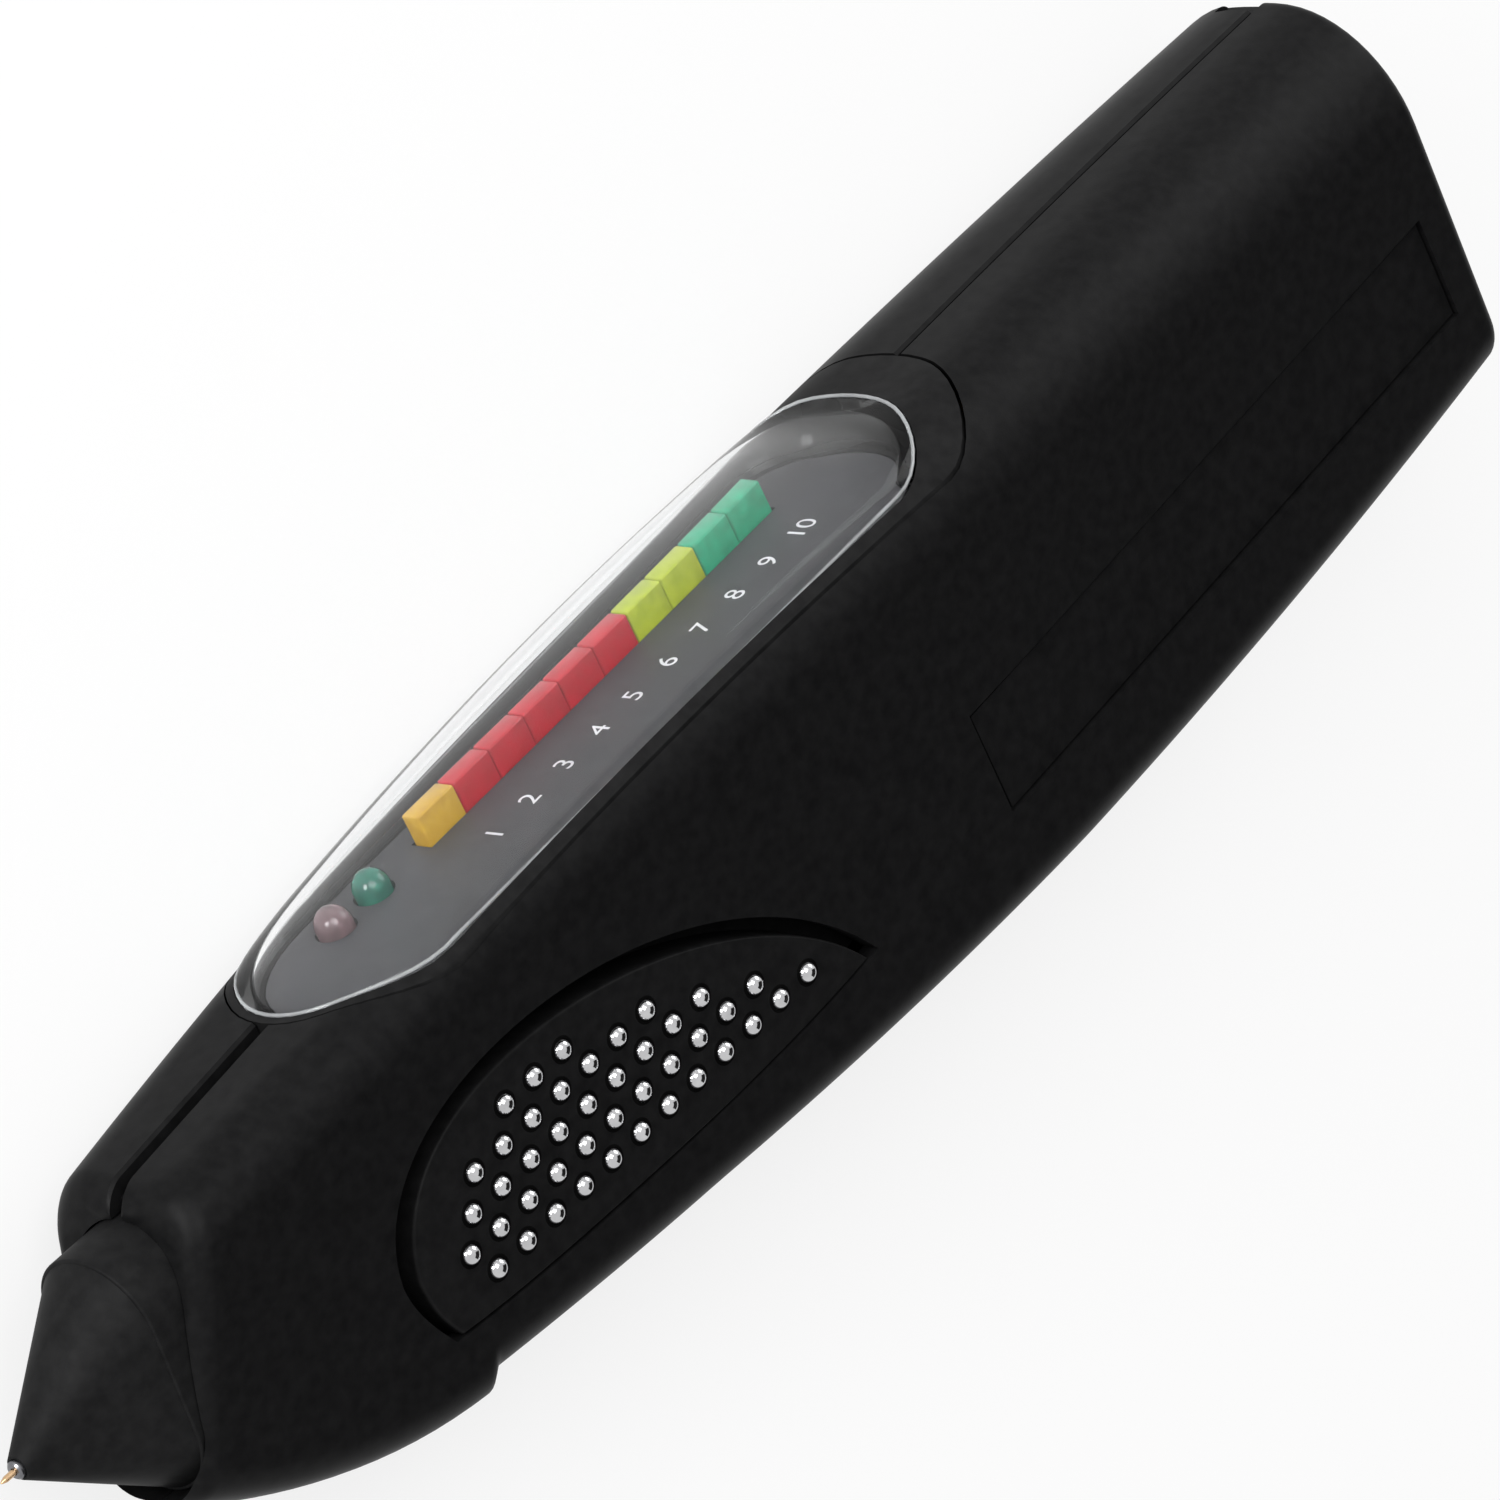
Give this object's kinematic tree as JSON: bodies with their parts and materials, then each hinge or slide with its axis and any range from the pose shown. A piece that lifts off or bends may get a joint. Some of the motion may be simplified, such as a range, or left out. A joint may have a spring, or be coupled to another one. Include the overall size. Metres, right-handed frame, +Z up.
{
  "type": "diamond tester",
  "caption": "Hand-held gem tester with a domed coloured step readout, studded side grips and a sprung needle tip in a cone nose.",
  "frame": {"origin": "centre of the bottom of the box round the tester as it lies on its left side", "axes": "+X from the tip to the tail, +Y towards the readout, +Z up, out of the right side"},
  "size_m": [0.1716, 0.0397, 0.0244],
  "materials": {
    "shell_plastic": "satin",
    "grip_plastic": "satin",
    "matte_plastic": "matte",
    "clear_plastic": "gloss",
    "panel_grey": "matte",
    "amber_resin": "gloss",
    "red_resin": "gloss",
    "lime_resin": "gloss",
    "green_resin": "gloss",
    "rose_resin": "gloss",
    "circuit_board": "satin",
    "dark_moulding": "matte",
    "chrome": "polished",
    "spring_steel": "satin",
    "probe_metal": "satin",
    "guide_brass": "satin",
    "cell_wrap": "gloss",
    "button_red": "satin"
  },
  "bodies": {
    "tester": {"right_housing": "shell_plastic", "left_housing": "shell_plastic", "lens_bezel": "matte_plastic", "display_lens": "clear_plastic", "display_panel": "panel_grey", "amber_bar_led": "amber_resin", "red_bar_leds": "red_resin", "lime_bar_leds": "lime_resin", "green_bar_leds": "green_resin", "ready_led": "green_resin", "battery_led": "rose_resin", "display_board": "circuit_board", "board_header": "dark_moulding", "main_board": "circuit_board", "controller_chip": "dark_moulding", "amplifier_chip": "dark_moulding", "buzzer": "dark_moulding", "grip_panel_right": "grip_plastic", "grip_panel_left": "grip_plastic", "contact_studs_right": "chrome", "contact_studs_left": "chrome", "contact_plate_right": "spring_steel", "contact_plate_left": "spring_steel", "nose_collar": "matte_plastic", "nose_cone": "matte_plastic", "tip_ring": "chrome", "probe_guide": "guide_brass", "probe_spring": "spring_steel", "battery_tray": "dark_moulding", "battery_cells": "cell_wrap", "battery_springs": "spring_steel", "battery_plates": "spring_steel", "switch_board": "circuit_board", "power_switch": "dark_moulding", "housing_screws": "spring_steel"},
    "probe": {"probe_needle": "probe_metal", "probe_carrier": "probe_metal"},
    "button": {"power_button": "button_red"},
    "cover": {"battery_cover": "shell_plastic"}
  },
  "joints": [
    {"name": "probe_push", "type": "slide", "parent": "tester", "child": "probe", "axis": [0.9976, -0.0698, 0], "range_m": [0, 0.001], "stiffness_N_per_m": 300, "springref_m": -0.0002},
    {"name": "power_press", "type": "slide", "parent": "tester", "child": "button", "axis": [-1, 0, 0], "range_m": [0, 0.0006], "stiffness_N_per_m": 400, "springref_m": -0.0004},
    {"name": "cover_slide", "type": "slide", "parent": "tester", "child": "cover", "axis": [1, 0, 0], "range_m": [0, 0.04]}
  ]
}
